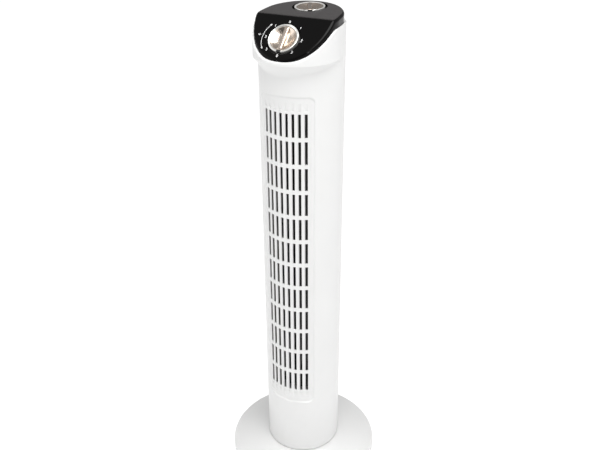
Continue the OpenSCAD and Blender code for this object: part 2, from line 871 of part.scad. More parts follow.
module impeller() {
    length = impeller_z1 - impeller_z0;
    pitch = (length - disc_t) / impeller_sections;
    ring_in_r = impeller_r - blade_depth - 1;
    color([0.12, 0.11, 0.11]) translate([0, impeller_y, impeller_z0]) difference() {
        union() {
            cylinder(r = impeller_r + 0.6, h = disc_t);
            translate([0, 0, length - disc_t]) cylinder(r = impeller_r + 0.6, h = disc_t);
            for (i = [1:impeller_sections - 1])
                tube(impeller_r + 0.6, ring_in_r, i * pitch, i * pitch + disc_t);
            cylinder(r = impeller_hub_r, h = 16);
            translate([0, 0, length - 12]) cylinder(r = impeller_hub_r, h = 12);
            for (b = [0:blades - 1]) rotate(b * 360 / blades)
                translate([0, 0, disc_t / 2]) linear_extrude(length - disc_t) blade_section();
        }
        translate([0, 0, -past]) cylinder(r = shaft_r + 0.03, h = 16);
        translate([0, 0, length - 10]) cylinder(r = pin_r + 0.03, h = 20);
        translate([0, 0, 8]) rotate([90, 0, 0]) cylinder(r = 1.6, h = 20);
    }
}

module impeller_pin() {
    pin_z = impeller_z1 - 9;
    color("silver") translate([0, impeller_y, pin_z]) cylinder(r = pin_r, h = bearing_deck_z - 2 - pin_z);
}

module motor_shaft() {
    shaft_z = motor_z - 2;
    color("silver") translate([0, impeller_y, shaft_z]) cylinder(r = shaft_r, h = impeller_z0 + 14 - shaft_z);
}

module motor_rotor() {
    color("gray") translate([0, impeller_y, 0]) tube(rotor_r, shaft_r + 0.03, rotor_z, rotor_z + rotor_h);
}

module hub_screw() {
    color("gray") translate([0, impeller_y - shaft_r - 0.1, impeller_z0 + 8])
        rotate([90, 0, 0]) cylinder(r = screw_r, h = 4.5);
}

// ---- Swing crank ----

module swing_crank() {
    color("ivory") translate([0, crank_y, 0]) {
        translate([0, 0, crank_z]) cylinder(r = 6, h = 6.6);
        translate([0, 0, crank_z]) cylinder(r = swing_shaft_r, h = swing_motor_z + 5 - crank_z);
        translate([-crank_end_r, 0, crank_z]) cube([2 * crank_end_r, crank_throw, crank_t]);
        translate([0, crank_throw, crank_z]) cylinder(r = crank_end_r, h = crank_t);
        translate([0, crank_throw, slot_floor + 0.4]) cylinder(r = crank_pin_r, h = crank_z - slot_floor);
    }
}

module crank_sleeve() {
    color("white") translate([0, crank_y + crank_throw, 0])
        tube(sleeve_r, crank_pin_r + 0.05, slot_floor + 0.5, crank_z - 0.1);
}

base_cover();
base_plate();
rubber_feet();
pivot_seat();
glide_ring();
thrust_washer();
retaining_nut();
cord_grommet();
base_screws();
seat_screws();
column_foot();
front_shell();
rear_cover();
outlet_grille();
control_cap();
air_duct();
stabilizer();
motor_deck();
bearing_deck();
bearing_rubber();
bearing_bush();
motor_housing();
motor_stator();
motor_mounts();
capacitor();
swing_motor();
swing_motor_screws();
terminal_block();
wire_harness();
selector_switch();
timer_unit();
switch_nuts();
shell_screws();
foot_screws();
deck_screws();
impeller();
impeller_pin();
motor_shaft();
motor_rotor();
hub_screw();
selector_knob();
selector_trim();
selector_shaft();
timer_knob();
timer_trim();
timer_shaft();
swing_crank();
crank_sleeve();
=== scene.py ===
"""Tower fan: the visual model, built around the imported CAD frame. Lengths are in millimetres."""
import math

import bmesh
import bpy
import numpy as np
from mathutils import Matrix, Vector


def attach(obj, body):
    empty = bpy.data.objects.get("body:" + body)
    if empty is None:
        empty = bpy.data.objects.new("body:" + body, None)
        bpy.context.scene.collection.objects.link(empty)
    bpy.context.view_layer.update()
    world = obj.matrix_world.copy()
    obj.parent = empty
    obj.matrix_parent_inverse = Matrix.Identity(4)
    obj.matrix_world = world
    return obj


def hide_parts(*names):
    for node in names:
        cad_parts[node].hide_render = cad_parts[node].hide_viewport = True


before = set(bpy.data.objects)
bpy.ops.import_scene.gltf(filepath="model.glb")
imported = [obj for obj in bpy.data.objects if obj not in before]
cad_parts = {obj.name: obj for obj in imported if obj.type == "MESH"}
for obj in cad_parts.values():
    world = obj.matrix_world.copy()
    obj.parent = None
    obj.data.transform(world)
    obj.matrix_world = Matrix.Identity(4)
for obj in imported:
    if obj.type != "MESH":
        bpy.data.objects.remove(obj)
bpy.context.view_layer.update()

MM = 0.001

# Column and lip
COLUMN_R = 60.0
WALL = 2.8
COLUMN_Z = 35.2
SPLIT_Y = 22.35
LIP_SHIFT = 12.0
LIP_R = 61.2
FLARE_Z = 677.0
FLARE_TOP = 703.0
FLARE_START_R = 47.0
CORNER_BLEND = 0.6
LIP_START_Z = 704.2
SEAM_LOW = 706.5
SEAM_HIGH = 745.3
SEAM_MID_Y = -46.3
SEAM_SLOPE = math.radians(40.0)
SEAM_BLEND = 3.8

# Outlet
WINDOW_HALF_W = 35.2
WINDOW_Z = (147.7, 649.45)
RECESS_DEPTH = 1.6
RECESS_HALF_W = 41.5
RECESS_END = 9.5
RECESS_CORNER = 9.0
RECESS_FADE = 2.6
GRILLE_R = 58.2
GRILLE_BACK_R = 56.0
SLOT_W = 4.1
SLOT_H = 34.0
ROW_PITCH = 39.75
ROWS = 12
COLUMNS = 8
FIRST_ROW_Z = 617.2
COLUMN_STEP = math.radians(8.7)
FIN_R = 59.3
COMB_GAP = 3.2
COMB_H = 12.0
COMB_DEPTH = 1.5

# Base
BASE_R = 122.5
RIM_ROUND = 4.0
RIM_Z = 19.5
SHOULDER_R = 62.0
SHOULDER_Z = 34.0
BASE_EDGE_Z = 4.5
SEAT_HOLE_R = 38.3
COLLAR_R = 47.0
COLLAR_Z = 26.0
GLAND_Z = 12.0

# Control head
TOP_Z = 762.0
HEAD_REAR_Y = 57.1
TOP_SLOPE = math.radians(4.0)
RIDGE_Y = -19.5
RIDGE_Z = TOP_Z + (RIDGE_Y - HEAD_REAR_Y) * math.tan(TOP_SLOPE)
RIDGE_BLEND = 1.8
SLOPE = math.radians(43.0)
CAP_INSET = 2.9
CAP_ROUND = 4.6
CAP_SKIRT = 4.0
CAP_T = 2.4
SELECTOR_X = -3.8
SELECTOR_Y = -46.1
SELECTOR_WELL_R = 23.3
SELECTOR_DEPTH = 5.8
TIMER_Y = 26.0
TIMER_WELL_R = 24.0
TIMER_DEPTH = 7.2
TIMER_TURN = math.radians(26.0)
BUSHING_HOLE_R = 4.7

# Knobs
KNOB_R = 21.2
KNOB_LIFT = 0.5
KNOB_H = 7.5
TRIM_T = 3.2
BAR_TOP = 8.0
BAR_HALF_W = 3.2
NOTCH_HALF_W = 3.0
NOTCH_Z = 2.0
FIT_GAP = 0.05
FACE_R = KNOB_R - TRIM_T - FIT_GAP
DISH_Z = 6.7
DISH_DEPTH = 3.4

# Printed marks: distances from the selector's axis, and sizes
DIGIT_RING_R = 26.0
DIGIT_H = 3.4
DIGIT_STROKE = 0.75
SWEEP_R = 31.0
SWEEP_STROKE = 0.7

# Stage
WORLD_LEVEL = 0.74
FLOOR_HALF = 6.0
CAMERA_PLACE = (0.4500, -0.9254, 0.9794)
CAMERA_TURN = math.radians(25.93)
CAMERA_DOWN = math.radians(27.81)
CAMERA_ROLL = math.radians(-0.28)


# ---- Outlines and heights ----

def smooth_max(a, b, k):
    return 0.5 * (a + b + np.sqrt((a - b) ** 2 + k * k))


def smooth_step(t):
    t = np.clip(t, 0.0, 1.0)
    return t * t * (3 - 2 * t)


def smooth_min(a, b, k):
    return -smooth_max(-a, -b, k)


def seam(y):
    """Height of the edge between column and cap: a ramp between two level ends."""
    ramp = 0.5 * (SEAM_LOW + SEAM_HIGH) + (y - SEAM_MID_Y) * math.tan(SEAM_SLOPE)
    return smooth_max(smooth_min(ramp, SEAM_HIGH, SEAM_BLEND), SEAM_LOW, SEAM_BLEND)


def column_radius(azimuth, z, inset):
    """Distance of the column's surface from its axis; azimuth 0 is the front."""
    t = np.clip((z - FLARE_Z) / (FLARE_TOP - FLARE_Z), 0.0, 1.0)
    flare = FLARE_START_R + (LIP_R - FLARE_START_R) * (1 - np.cos(0.5 * math.pi * t)) - inset
    reach = flare ** 2 - (LIP_SHIFT * np.sin(azimuth)) ** 2
    lip = LIP_SHIFT * np.cos(azimuth) + np.sqrt(np.maximum(reach, 1.0))
    return smooth_max(COLUMN_R - inset, lip, CORNER_BLEND)


def recess_depth(x, z):
    """Depth of the shallow recess round the outlet, which has rounded corners and soft sides."""
    middle = 0.5 * (WINDOW_Z[0] + WINDOW_Z[1])
    half_h = 0.5 * (WINDOW_Z[1] - WINDOW_Z[0]) + RECESS_END
    beyond_x = np.abs(x) - (RECESS_HALF_W - RECESS_CORNER)
    beyond_z = np.abs(z - middle) - (half_h - RECESS_CORNER)
    outside = np.hypot(np.maximum(beyond_x, 0.0), np.maximum(beyond_z, 0.0))
    edge = outside + np.minimum(np.maximum(beyond_x, beyond_z), 0.0) - RECESS_CORNER
    return RECESS_DEPTH * (1 - smooth_step(edge / RECESS_FADE + 1.0))


def cap_edge(x, y, inset):
    """Signed distance to the cap's outline, negative inside it."""
    r1 = COLUMN_R - inset
    r2 = LIP_R - inset
    b = (r1 - r2) / LIP_SHIFT
    a = math.sqrt(1 - b * b)
    px = np.abs(x)
    py = -y
    k = a * py - b * px
    rear = np.hypot(px, py) - r1
    front = np.hypot(px, py - LIP_SHIFT) - r2
    side = a * px + b * py - r1
    return np.where(k < 0, rear, np.where(k > a * LIP_SHIFT, front, side))


def top_plane(y):
    return TOP_Z + (y - HEAD_REAR_Y) * math.tan(TOP_SLOPE)


def panel_plane(y):
    return RIDGE_Z + (y - RIDGE_Y) * math.tan(SLOPE)


def top_height(y):
    """Height of the cap: its gently sloped top runs softly into the slanted panel."""
    return smooth_min(top_plane(y), panel_plane(y), RIDGE_BLEND)


def cap_height(x, y):
    """Height of the cap at x and y, with the edge towards its side wall rounded."""
    step = 0.01
    edge = cap_edge(x, y, CAP_INSET)
    ny = (cap_edge(x, y + step, CAP_INSET) - cap_edge(x, y - step, CAP_INSET)) / (2 * step)
    inside = np.maximum(-edge, 0.0)
    edge_y = y + ny * inside
    fall = (top_height(edge_y) - top_height(edge_y + step)) / step * ny
    angle = np.arctan(np.maximum(fall, 0.0))
    corner = top_height(edge_y)
    tangent = CAP_ROUND * np.tan(0.25 * math.pi - 0.5 * angle)
    bow = np.sqrt(np.maximum(CAP_ROUND ** 2 - np.maximum(CAP_ROUND - inside, 0.0) ** 2, 0.0))
    level = top_height(y)
    rounded = np.minimum(corner - tangent + bow, level)
    return np.where(inside < CAP_ROUND * (1 - np.sin(angle)), rounded, level)


def base_top(r):
    t = np.maximum(0.0, (r - SHOULDER_R) / (BASE_R - RIM_ROUND - SHOULDER_R))
    return SHOULDER_Z - (SHOULDER_Z - RIM_Z) * t ** 1.3


# ---- Mesh helpers ----

def outward(bm):
    bmesh.ops.recalc_face_normals(bm, faces=bm.faces)


def finish_piece(name, bm, body, material, replaces=(), sharp=38.0, place=None):
    """Turns a bmesh in millimetres into a piece that rides on a body."""
    if place is not None:
        bmesh.ops.transform(bm, matrix=place, verts=bm.verts)
    bmesh.ops.scale(bm, vec=(MM, MM, MM), verts=bm.verts)
    mesh = bpy.data.meshes.new(name)
    bm.to_mesh(mesh)
    bm.free()
    mesh.polygons.foreach_set("use_smooth", [True] * len(mesh.polygons))
    mesh.set_sharp_from_angle(angle=math.radians(sharp))
    mesh.materials.append(material)
    piece = bpy.data.objects.new(name, mesh)
    bpy.context.scene.collection.objects.link(piece)
    weighted = piece.modifiers.new("even shading", "WEIGHTED_NORMAL")
    weighted.keep_sharp = True
    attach(piece, body)
    if replaces:
        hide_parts(*replaces)
    return piece


def shell_from_grid(outer, inner, keep):
    """A closed solid between two grids of points, without the cells that keep marks as open.
    Also returns the edges where an outer face meets a wall."""
    bm = bmesh.new()
    rows, cols = keep.shape
    sides = []
    for grid in (outer, inner):
        sides.append([[None] * (cols + 1) for _ in range(rows + 1)])

    def vert(side, i, j):
        if sides[side][i][j] is None:
            sides[side][i][j] = bm.verts.new((outer, inner)[side][i, j])
        return sides[side][i][j]

    walls = []
    for i in range(rows):
        for j in range(cols):
            if not keep[i, j]:
                continue
            ring = [(i, j), (i, j + 1), (i + 1, j + 1), (i + 1, j)]
            bm.faces.new([vert(0, *p) for p in ring])
            bm.faces.new([vert(1, *p) for p in reversed(ring)])
            near = [(i - 1, j), (i, j + 1), (i + 1, j), (i, j - 1)]
            for k, (ni, nj) in enumerate(near):
                if 0 <= ni < rows and 0 <= nj < cols and keep[ni, nj]:
                    continue
                a, b = ring[k], ring[(k + 1) % 4]
                bm.faces.new([vert(0, *b), vert(0, *a), vert(1, *a), vert(1, *b)])
                walls.append((vert(0, *a), vert(0, *b)))
    edges = [bm.edges.get(pair) for pair in walls]
    outward(bm)
    return bm, edges


def bevel(bm, edges, width, segments=2):
    bmesh.ops.bevel(bm, geom=edges, offset=width, segments=segments, profile=0.5,
                    affect="EDGES", clamp_overlap=True)


def revolve(profile, steps, closed=True, clip=None):
    """Turns a list of (radius, height) about Z. A closed profile makes a ring; otherwise both
    ends lie on the axis. clip(angle) limits the height at an angle."""
    bm = bmesh.new()
    angles = steps if isinstance(steps, (list, tuple)) else [
        2 * math.pi * k / steps for k in range(steps)]
    rings = []
    for r, z in profile:
        if r < 1e-6:
            rings.append([bm.verts.new((0, 0, z))])
            continue
        ring = []
        for a in angles:
            height = z if clip is None else min(z, clip(a))
            ring.append(bm.verts.new((r * math.cos(a), r * math.sin(a), height)))
        rings.append(ring)
    count = len(angles)
    pairs = list(zip(rings, rings[1:]))
    if closed:
        pairs.append((rings[-1], rings[0]))
    for low, high in pairs:
        for k in range(count):
            n = (k + 1) % count
            quad = [low[k % len(low)], low[n % len(low)], high[n % len(high)], high[k % len(high)]]
            corners = []
            for v in quad:
                if v not in corners:
                    corners.append(v)
            bm.faces.new(corners)
    outward(bm)
    return bm


def arc(centre, radius, start, end, steps):
    """Points of an arc in a (radius, height) profile, angles in degrees."""
    return [(centre[0] + radius * math.cos(math.radians(start + (end - start) * i / steps)),
             centre[1] + radius * math.sin(math.radians(start + (end - start) * i / steps)))
            for i in range(steps + 1)]


def carve(bm, cutters, added=()):
    """Joins solids to a solid and cuts others out of it, with Blender's exact boolean."""
    mesh = bpy.data.meshes.new("carved")
    bm.to_mesh(mesh)
    bm.free()
    solid = bpy.data.objects.new("carved", mesh)
    bpy.context.scene.collection.objects.link(solid)
    made = [solid]
    steps = [("UNION", tool) for tool in added] + [("DIFFERENCE", tool) for tool in cutters]
    for operation, other in steps:
        other_mesh = bpy.data.meshes.new("other")
        other.to_mesh(other_mesh)
        other.free()
        tool = bpy.data.objects.new("other", other_mesh)
        bpy.context.scene.collection.objects.link(tool)
        cut = solid.modifiers.new("cut", "BOOLEAN")
        cut.operation = operation
        cut.solver = "EXACT"
        cut.object = tool
        made.append(tool)
    bpy.context.view_layer.update()
    evaluated = solid.evaluated_get(bpy.context.evaluated_depsgraph_get())
    result = bmesh.new()
    result.from_mesh(evaluated.to_mesh())
    evaluated.to_mesh_clear()
    for thing in made:
        data = thing.data
        bpy.data.objects.remove(thing)
        bpy.data.meshes.remove(data)
    return result


def rod(radius, start, end, steps=48):
    """A cylinder between two points, used for cutting."""
    start = Vector(start)
    along = Vector(end) - start
    bm = revolve([(0, 0), (radius, 0), (radius, along.length), (0, along.length)], steps, False)
    turn = along.to_track_quat("Z", "Y").to_matrix().to_4x4()
    bmesh.ops.transform(bm, matrix=Matrix.Translation(start) @ turn, verts=bm.verts)
    return bm


def spaced(start, end, step):
    count = max(1, round(abs(end - start) / step))
    return [start + (end - start) * i / count for i in range(count)]


# ---- Materials ----

def new_material(name):
    material = bpy.data.materials.new(name)
    material.use_nodes = True
    nodes = material.node_tree.nodes
    shader = next(n for n in nodes if n.type == "BSDF_PRINCIPLED")
    return material, nodes, material.node_tree.links, shader


def noise(nodes, links, scale, detail=3.0, stretch=(1, 1, 1)):
    place = nodes.new("ShaderNodeTexCoord")
    mapping = nodes.new("ShaderNodeMapping")
    mapping.inputs["Scale"].default_value = stretch
    texture = nodes.new("ShaderNodeTexNoise")
    texture.inputs["Scale"].default_value = scale
    texture.inputs["Detail"].default_value = detail
    links.new(place.outputs["Object"], mapping.inputs["Vector"])
    links.new(mapping.outputs["Vector"], texture.inputs["Vector"])
    return texture.outputs["Fac"]


def spread(nodes, links, source, low, high):
    mapped = nodes.new("ShaderNodeMapRange")
    mapped.inputs["From Min"].default_value = 0.3
    mapped.inputs["From Max"].default_value = 0.7
    mapped.inputs["To Min"].default_value = low
    mapped.inputs["To Max"].default_value = high
    links.new(source, mapped.inputs["Value"])
    return mapped.outputs["Result"]


def add_relief(nodes, links, shader, height, strength):
    """Fine relief, 0.4 mm deep at full strength."""
    relief = nodes.new("ShaderNodeBump")
    relief.inputs["Strength"].default_value = strength
    relief.inputs["Distance"].default_value = 0.0004
    links.new(height, relief.inputs["Height"])
    links.new(relief.outputs["Normal"], shader.inputs["Normal"])


def finish(name, color, roughness, metallic=0.0, ior=1.5, vary=0.03, patch=18.0, grain=900.0,
           grain_depth=0.02, stretch=(1, 1, 1), rough_vary=0.15):
    """A surface with slow colour variation, uneven gloss and a fine grain in its relief."""
    material, nodes, links, shader = new_material(name)
    shader.inputs["Metallic"].default_value = metallic
    shader.inputs["IOR"].default_value = ior
    mix = nodes.new("ShaderNodeMix")
    mix.data_type = "RGBA"
    mix.inputs["A"].default_value = (*[c * (1 - vary) for c in color], 1)
    mix.inputs["B"].default_value = (*[min(1.0, c * (1 + vary)) for c in color], 1)
    links.new(spread(nodes, links, noise(nodes, links, patch), 0, 1), mix.inputs["Factor"])
    links.new(mix.outputs["Result"], shader.inputs["Base Color"])
    streaks = noise(nodes, links, patch * 6, 4.0, stretch)
    links.new(spread(nodes, links, streaks, roughness * (1 - rough_vary),
                     min(1.0, roughness * (1 + rough_vary))), shader.inputs["Roughness"])
    add_relief(nodes, links, shader, noise(nodes, links, grain, 2.0, stretch), grain_depth)
    return material


def cap_finish():
    """Black plastic: the panel and the sides are polished, and the top is finely grained. Faces
    that look upwards are also painted a lighter grey: a painted reflection of the bright light
    behind the head, not the plastic's own colour.
    """
    material, nodes, links, shader = new_material("gloss black")
    shader.inputs["IOR"].default_value = 1.2
    place = nodes.new("ShaderNodeTexCoord")
    parts = nodes.new("ShaderNodeSeparateXYZ")
    links.new(place.outputs["Normal"], parts.inputs["Vector"])
    level = nodes.new("ShaderNodeMapRange")
    level.interpolation_type = "SMOOTHSTEP"
    level.inputs["From Min"].default_value = 0.80
    level.inputs["From Max"].default_value = 0.98
    links.new(parts.outputs["Z"], level.inputs["Value"])
    top = level.outputs["Result"]
    # Painted reflection: the lighter grey on faces that look upwards stands in for the bright light
    # the top reflects; the plastic itself is the near-black colour.
    colour = nodes.new("ShaderNodeMix")
    colour.data_type = "RGBA"
    colour.inputs["A"].default_value = (0.0028, 0.0026, 0.0026, 1)
    colour.inputs["B"].default_value = (0.052, 0.049, 0.049, 1)
    links.new(top, colour.inputs["Factor"])
    links.new(colour.outputs["Result"], shader.inputs["Base Color"])
    smear = spread(nodes, links, noise(nodes, links, 90, 4.0), 0.05, 0.12)
    gloss = nodes.new("ShaderNodeMath")
    gloss.operation = "MULTIPLY_ADD"
    gloss.inputs[1].default_value = 0.28
    links.new(top, gloss.inputs[0])
    links.new(smear, gloss.inputs[2])
    links.new(gloss.outputs["Value"], shader.inputs["Roughness"])
    add_relief(nodes, links, shader, noise(nodes, links, 260, 2.0), 0.012)
    return material


def make_materials():
    return {
        "shell": finish("moulded white", (0.76, 0.76, 0.755), 0.34, vary=0.012, grain_depth=0.05),
        "cap": cap_finish(),
        "satin": finish("satin knob", (0.66, 0.57, 0.49), 0.22, metallic=1.0, vary=0.06,
                        patch=120, grain=1600, grain_depth=0.10, stretch=(1, 0.08, 1)),
        "chrome": finish("bright trim", (0.94, 0.93, 0.90), 0.16, metallic=0.7, vary=0.02,
                         patch=60, grain=700, grain_depth=0.01),
        "frame": finish("grey moulding", (0.42, 0.42, 0.41), 0.5, vary=0.04, grain_depth=0.06),
        "plate": finish("dark plate", (0.035, 0.035, 0.036), 0.55, vary=0.12, grain_depth=0.12),
        "duct": finish("duct", (0.030, 0.026, 0.024), 0.5, vary=0.12, patch=14,
                       grain_depth=0.08),
        "tongue": finish("outlet wall", (0.075, 0.060, 0.054), 0.5, vary=0.10, patch=14,
                         grain_depth=0.08),
        "impeller": finish("impeller black", (0.008, 0.0075, 0.0075), 0.4, vary=0.10,
                           grain_depth=0.05),
        "rubber": finish("rubber", (0.016, 0.016, 0.016), 0.8, vary=0.15, grain=1400,
                         grain_depth=0.25),
        "bearing": finish("bearing plastic", (0.72, 0.69, 0.60), 0.4, vary=0.03),
        "steel": finish("zinc steel", (0.55, 0.55, 0.54), 0.28, metallic=1.0, vary=0.08,
                        patch=60, grain=1200, grain_depth=0.08),
        "lamination": finish("laminated iron", (0.20, 0.12, 0.08), 0.5, metallic=0.6, vary=0.15,
                             grain=600, grain_depth=0.3, stretch=(0.02, 0.02, 1)),
        "bronze": finish("bronze", (0.45, 0.28, 0.11), 0.35, metallic=1.0, vary=0.08,
                         grain_depth=0.1),
        "cable": finish("cable", (0.014, 0.014, 0.014), 0.5, vary=0.1, grain_depth=0.1),
        "print": finish("white print", (0.72, 0.72, 0.72), 0.5, vary=0.04, grain_depth=0.05),
    }


MATERIALS = make_materials()

CAD_FINISHES = {
    "shell": ["rear_cover"],
    "frame": ["pivot_seat", "column_foot", "motor_deck", "bearing_deck"],
    "plate": ["base_plate", "selector_switch"],
    "duct": ["air_duct"],
    "tongue": ["stabilizer"],
    "impeller": ["impeller"],
    "rubber": ["rubber_feet", "cord_grommet", "bearing_rubber", "motor_mounts"],
    "bearing": ["glide_ring", "thrust_washer", "terminal_block", "capacitor", "swing_crank",
                "crank_sleeve"],
    "steel": ["retaining_nut", "base_screws", "seat_screws", "motor_housing", "swing_motor",
              "swing_motor_screws", "timer_unit", "switch_nuts", "shell_screws", "foot_screws",
              "deck_screws", "impeller_pin", "motor_shaft", "hub_screw", "selector_shaft",
              "timer_shaft"],
    "lamination": ["motor_stator", "motor_rotor"],
    "bronze": ["bearing_bush"],
    "cable": ["wire_harness"],
}


def finish_cad_nodes():
    for kind, names in CAD_FINISHES.items():
        for name in names:
            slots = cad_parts[name].data.materials
            slots.clear()
            slots.append(MATERIALS[kind])


# ---- Base ----

def build_base_cover():
    corner_r = BASE_R - RIM_ROUND
    slope = [(r, float(base_top(r))) for r in np.linspace(SHOULDER_R, corner_r, 40)]
    under = [(r, float(base_top(r)) - WALL) for r in np.linspace(corner_r, COLLAR_R, 30)]
    profile = (
        arc((SEAT_HOLE_R + 0.8, SHOULDER_Z - 0.8), 0.8, 180, 90, 4) + [(50.0, SHOULDER_Z)]
        + slope[:-1] + arc((corner_r, RIM_Z - RIM_ROUND), RIM_ROUND, 76, 0, 12)
        + arc((BASE_R - 0.7, BASE_EDGE_Z + 0.7), 0.7, 0, -90, 4)
        + [(BASE_R - WALL, BASE_EDGE_Z), (BASE_R - WALL, RIM_Z - RIM_ROUND),
           (BASE_R - WALL - 0.5, RIM_Z - WALL)]
        + under + [(COLLAR_R, COLLAR_Z), (SEAT_HOLE_R, COLLAR_Z)])
    bm = revolve(profile, 192)
    through = rod(4.55, (0, BASE_R - 20, GLAND_Z), (0, BASE_R + 10, GLAND_Z))
    seat = rod(6.1, (0, BASE_R - 2, GLAND_Z), (0, BASE_R + 10, GLAND_Z))
    bm = carve(bm, [through, seat])
    finish_piece("base_cover_moulding", bm, "base", MATERIALS["shell"],
                 ["base_cover"])


# ---- Column ----

def build_front_shell():
    edge_azimuth = math.acos(-SPLIT_Y / COLUMN_R)
    window_azimuth = math.asin(WINDOW_HALF_W / (COLUMN_R - RECESS_DEPTH))
    corner_azimuth = math.radians(30.0)
    fade_azimuth = math.radians(46.0)
    half = (spaced(0, corner_azimuth, math.radians(2.5))
            + spaced(corner_azimuth, window_azimuth, math.radians(0.8))
            + spaced(window_azimuth, fade_azimuth, math.radians(0.75))
            + spaced(fade_azimuth, edge_azimuth, math.radians(2.2)) + [edge_azimuth])
    azimuths = np.array([-a for a in reversed(half[1:])] + half)
    low, high = WINDOW_Z
    heights = (spaced(36.2, low - 12, 14) + spaced(low - 12, low, 0.9) + spaced(low, high, 30)
               + spaced(high, high + 12, 0.9) + spaced(high + 12, FLARE_Z - 1, 5)
               + spaced(FLARE_Z - 1, LIP_START_Z, 1.2))
    # Rows are (inset, height), or (inset, distance under the seam) for the lip
    foot_rows = [(1.0, COLUMN_Z), (0.3, COLUMN_Z + 0.3)]
    lip_rows = [(0.0, 1.35), (0.1, 0.84), (0.4, 0.4), (0.84, 0.1), (1.35, 0.0), (2.0, 0.0),
                (2.45, 0.12), (2.7, 0.4), (WALL, 0.8)]
    outer, inner = [], []

    def ring(inset, z, recess):
        radius = column_radius(azimuths, z, 0.0)
        if recess:
            for _ in range(3):
                radius = (column_radius(azimuths, z, 0.0)
                          - recess_depth(radius * np.sin(azimuths), z))
        radius = radius - inset
        return np.stack([radius * np.sin(azimuths), -radius * np.cos(azimuths),
                         np.full_like(azimuths, z)], axis=1)

    def inner_ring(z):
        radius = column_radius(azimuths, z, WALL)
        return np.stack([radius * np.sin(azimuths), -radius * np.cos(azimuths),
                         np.full_like(azimuths, z)], axis=1)

    for inset, z in foot_rows:
        outer.append(ring(inset, z, False))
        inner.append(inner_ring(z))
    for z in heights:
        outer.append(ring(0.0, z, True))
        inner.append(inner_ring(z))
    lift = len(outer)
    base_share = 0.8
    for k in range(1, 5):
        share = k / 5
        points = ring(0.0, LIP_START_Z, False)
        points[:, 2] += (seam(points[:, 1]) - lip_rows[0][1] - LIP_START_Z) * share
        outer.append(points)
        points = inner_ring(LIP_START_Z)
        points[:, 2] += (seam(points[:, 1]) - 2.0 - LIP_START_Z) * share * base_share
        inner.append(points)
    # The lip has the flare's full radius, and its heights follow the seam
    for k, (inset, drop) in enumerate(lip_rows):
        points = ring(inset, FLARE_TOP, False)
        points[:, 2] = seam(points[:, 1]) - drop
        outer.append(points)
        points = inner_ring(FLARE_TOP)
        reach = seam(points[:, 1]) - 2.0 - LIP_START_Z
        share = base_share + (1 - base_share) * (k + 1) / len(lip_rows)
        points[:, 2] = LIP_START_Z + reach * share
        inner.append(points)
    outer = np.array(outer)
    inner = np.array(inner)
    rows, cols = outer.shape[0] - 1, outer.shape[1] - 1
    keep = np.ones((rows, cols), bool)
    for i in range(rows):
        middle_z = 0.5 * (outer[i, 0, 2] + outer[i + 1, 0, 2])
        if i >= lift or not low < middle_z < high:
            continue
        for j in range(cols):
            if abs(0.5 * (azimuths[j] + azimuths[j + 1])) < window_azimuth:
                keep[i, j] = False
    bm, edges = shell_from_grid(outer, inner, keep)
    rim = [e for e in edges if e is not None and abs(e.verts[0].co.z - e.verts[1].co.z) > 5
           and all(low - 0.1 < v.co.z < high + 0.1 for v in e.verts)]
    bevel(bm, rim, 0.3)
    finish_piece("front_shell_moulding", bm, "column", MATERIALS["shell"],
                 ["front_shell"])


def build_grille():
    slot_x = [FIN_R * math.sin((c - 0.5 * (COLUMNS - 1)) * COLUMN_STEP) for c in range(COLUMNS)]
    half_w = WINDOW_HALF_W - 0.25
    end_gap = 0.04
    shoulder = [-SLOT_W / 2, -SLOT_W / 2 + 0.25, -SLOT_W / 2 + 0.6]
    xs = [-half_w, -half_w + 0.7]
    for x in slot_x:
        xs += [x + s for s in shoulder] + [x] + [x - s for s in reversed(shoulder)]
    xs += [half_w - 0.7, half_w]
    middles = [0.5 * (a + b) for a, b in zip(xs, xs[1:]) if b - a > 3]
    xs = np.array(sorted(xs + middles))
    row_z = [FIRST_ROW_Z - k * ROW_PITCH for k in reversed(range(ROWS))]
    zs = [WINDOW_Z[0] + end_gap]
    comb_low = row_z[0] - SLOT_H / 2 - COMB_GAP
    comb_high = row_z[-1] + SLOT_H / 2 + COMB_GAP
    comb = [0.0, 0.25, 0.7, 1.4, 3.0, 5.0, 7.0, 9.0, COMB_H]
    zs += [comb_low - c for c in reversed(comb)]
    for z in row_z:
        zs += [z - SLOT_H / 2, z, z + SLOT_H / 2]
    zs += [comb_high + c for c in comb] + [WINDOW_Z[1] - end_gap]
    zs = np.array(zs)
    across = np.zeros_like(xs)
    for x in slot_x:
        across = np.maximum(across, np.interp(
            np.abs(xs - x), [SLOT_W / 2 - 0.6, SLOT_W / 2 - 0.25, SLOT_W / 2], [1.0, 0.75, 0.0]))
    along = np.maximum(comb_low - zs, zs - comb_high)
    along = np.interp(along, [-0.01, 0.0, 0.25, 0.7, 1.4, COMB_H],
                      [0.0, 0.0, 0.7, 0.95, 0.9, 0.0], right=0.0)
    depth = COMB_DEPTH * along[:, None] * across[None, :]
    grid_x = np.broadcast_to(xs, depth.shape)
    grid_z = np.broadcast_to(zs[:, None], depth.shape)
    front = -np.sqrt(GRILLE_R ** 2 - grid_x ** 2) + depth
    back = -np.sqrt(GRILLE_BACK_R ** 2 - grid_x ** 2)
    outer = np.stack([grid_x, front, grid_z], axis=2)
    inner = np.stack([grid_x, back, grid_z], axis=2)
    mid_x = 0.5 * (xs[1:] + xs[:-1])
    mid_z = 0.5 * (zs[1:] + zs[:-1])
    in_column = np.any([np.abs(mid_x - x) < SLOT_W / 2 for x in slot_x], axis=0)
    in_row = np.any([np.abs(mid_z - z) < SLOT_H / 2 for z in row_z], axis=0)
    keep = ~(in_row[:, None] & in_column[None, :])
    bm, edges = shell_from_grid(outer, inner, keep)
    ends = (zs[0], zs[-1])
    inside = [e for e in edges if e is not None
              and not all(min(abs(v.co.z - z) for z in ends) < 0.01 for v in e.verts)]
    bevel(bm, inside, 0.2)
    finish_piece("grille_moulding", bm, "column", MATERIALS["shell"],
                 ["outlet_grille"])


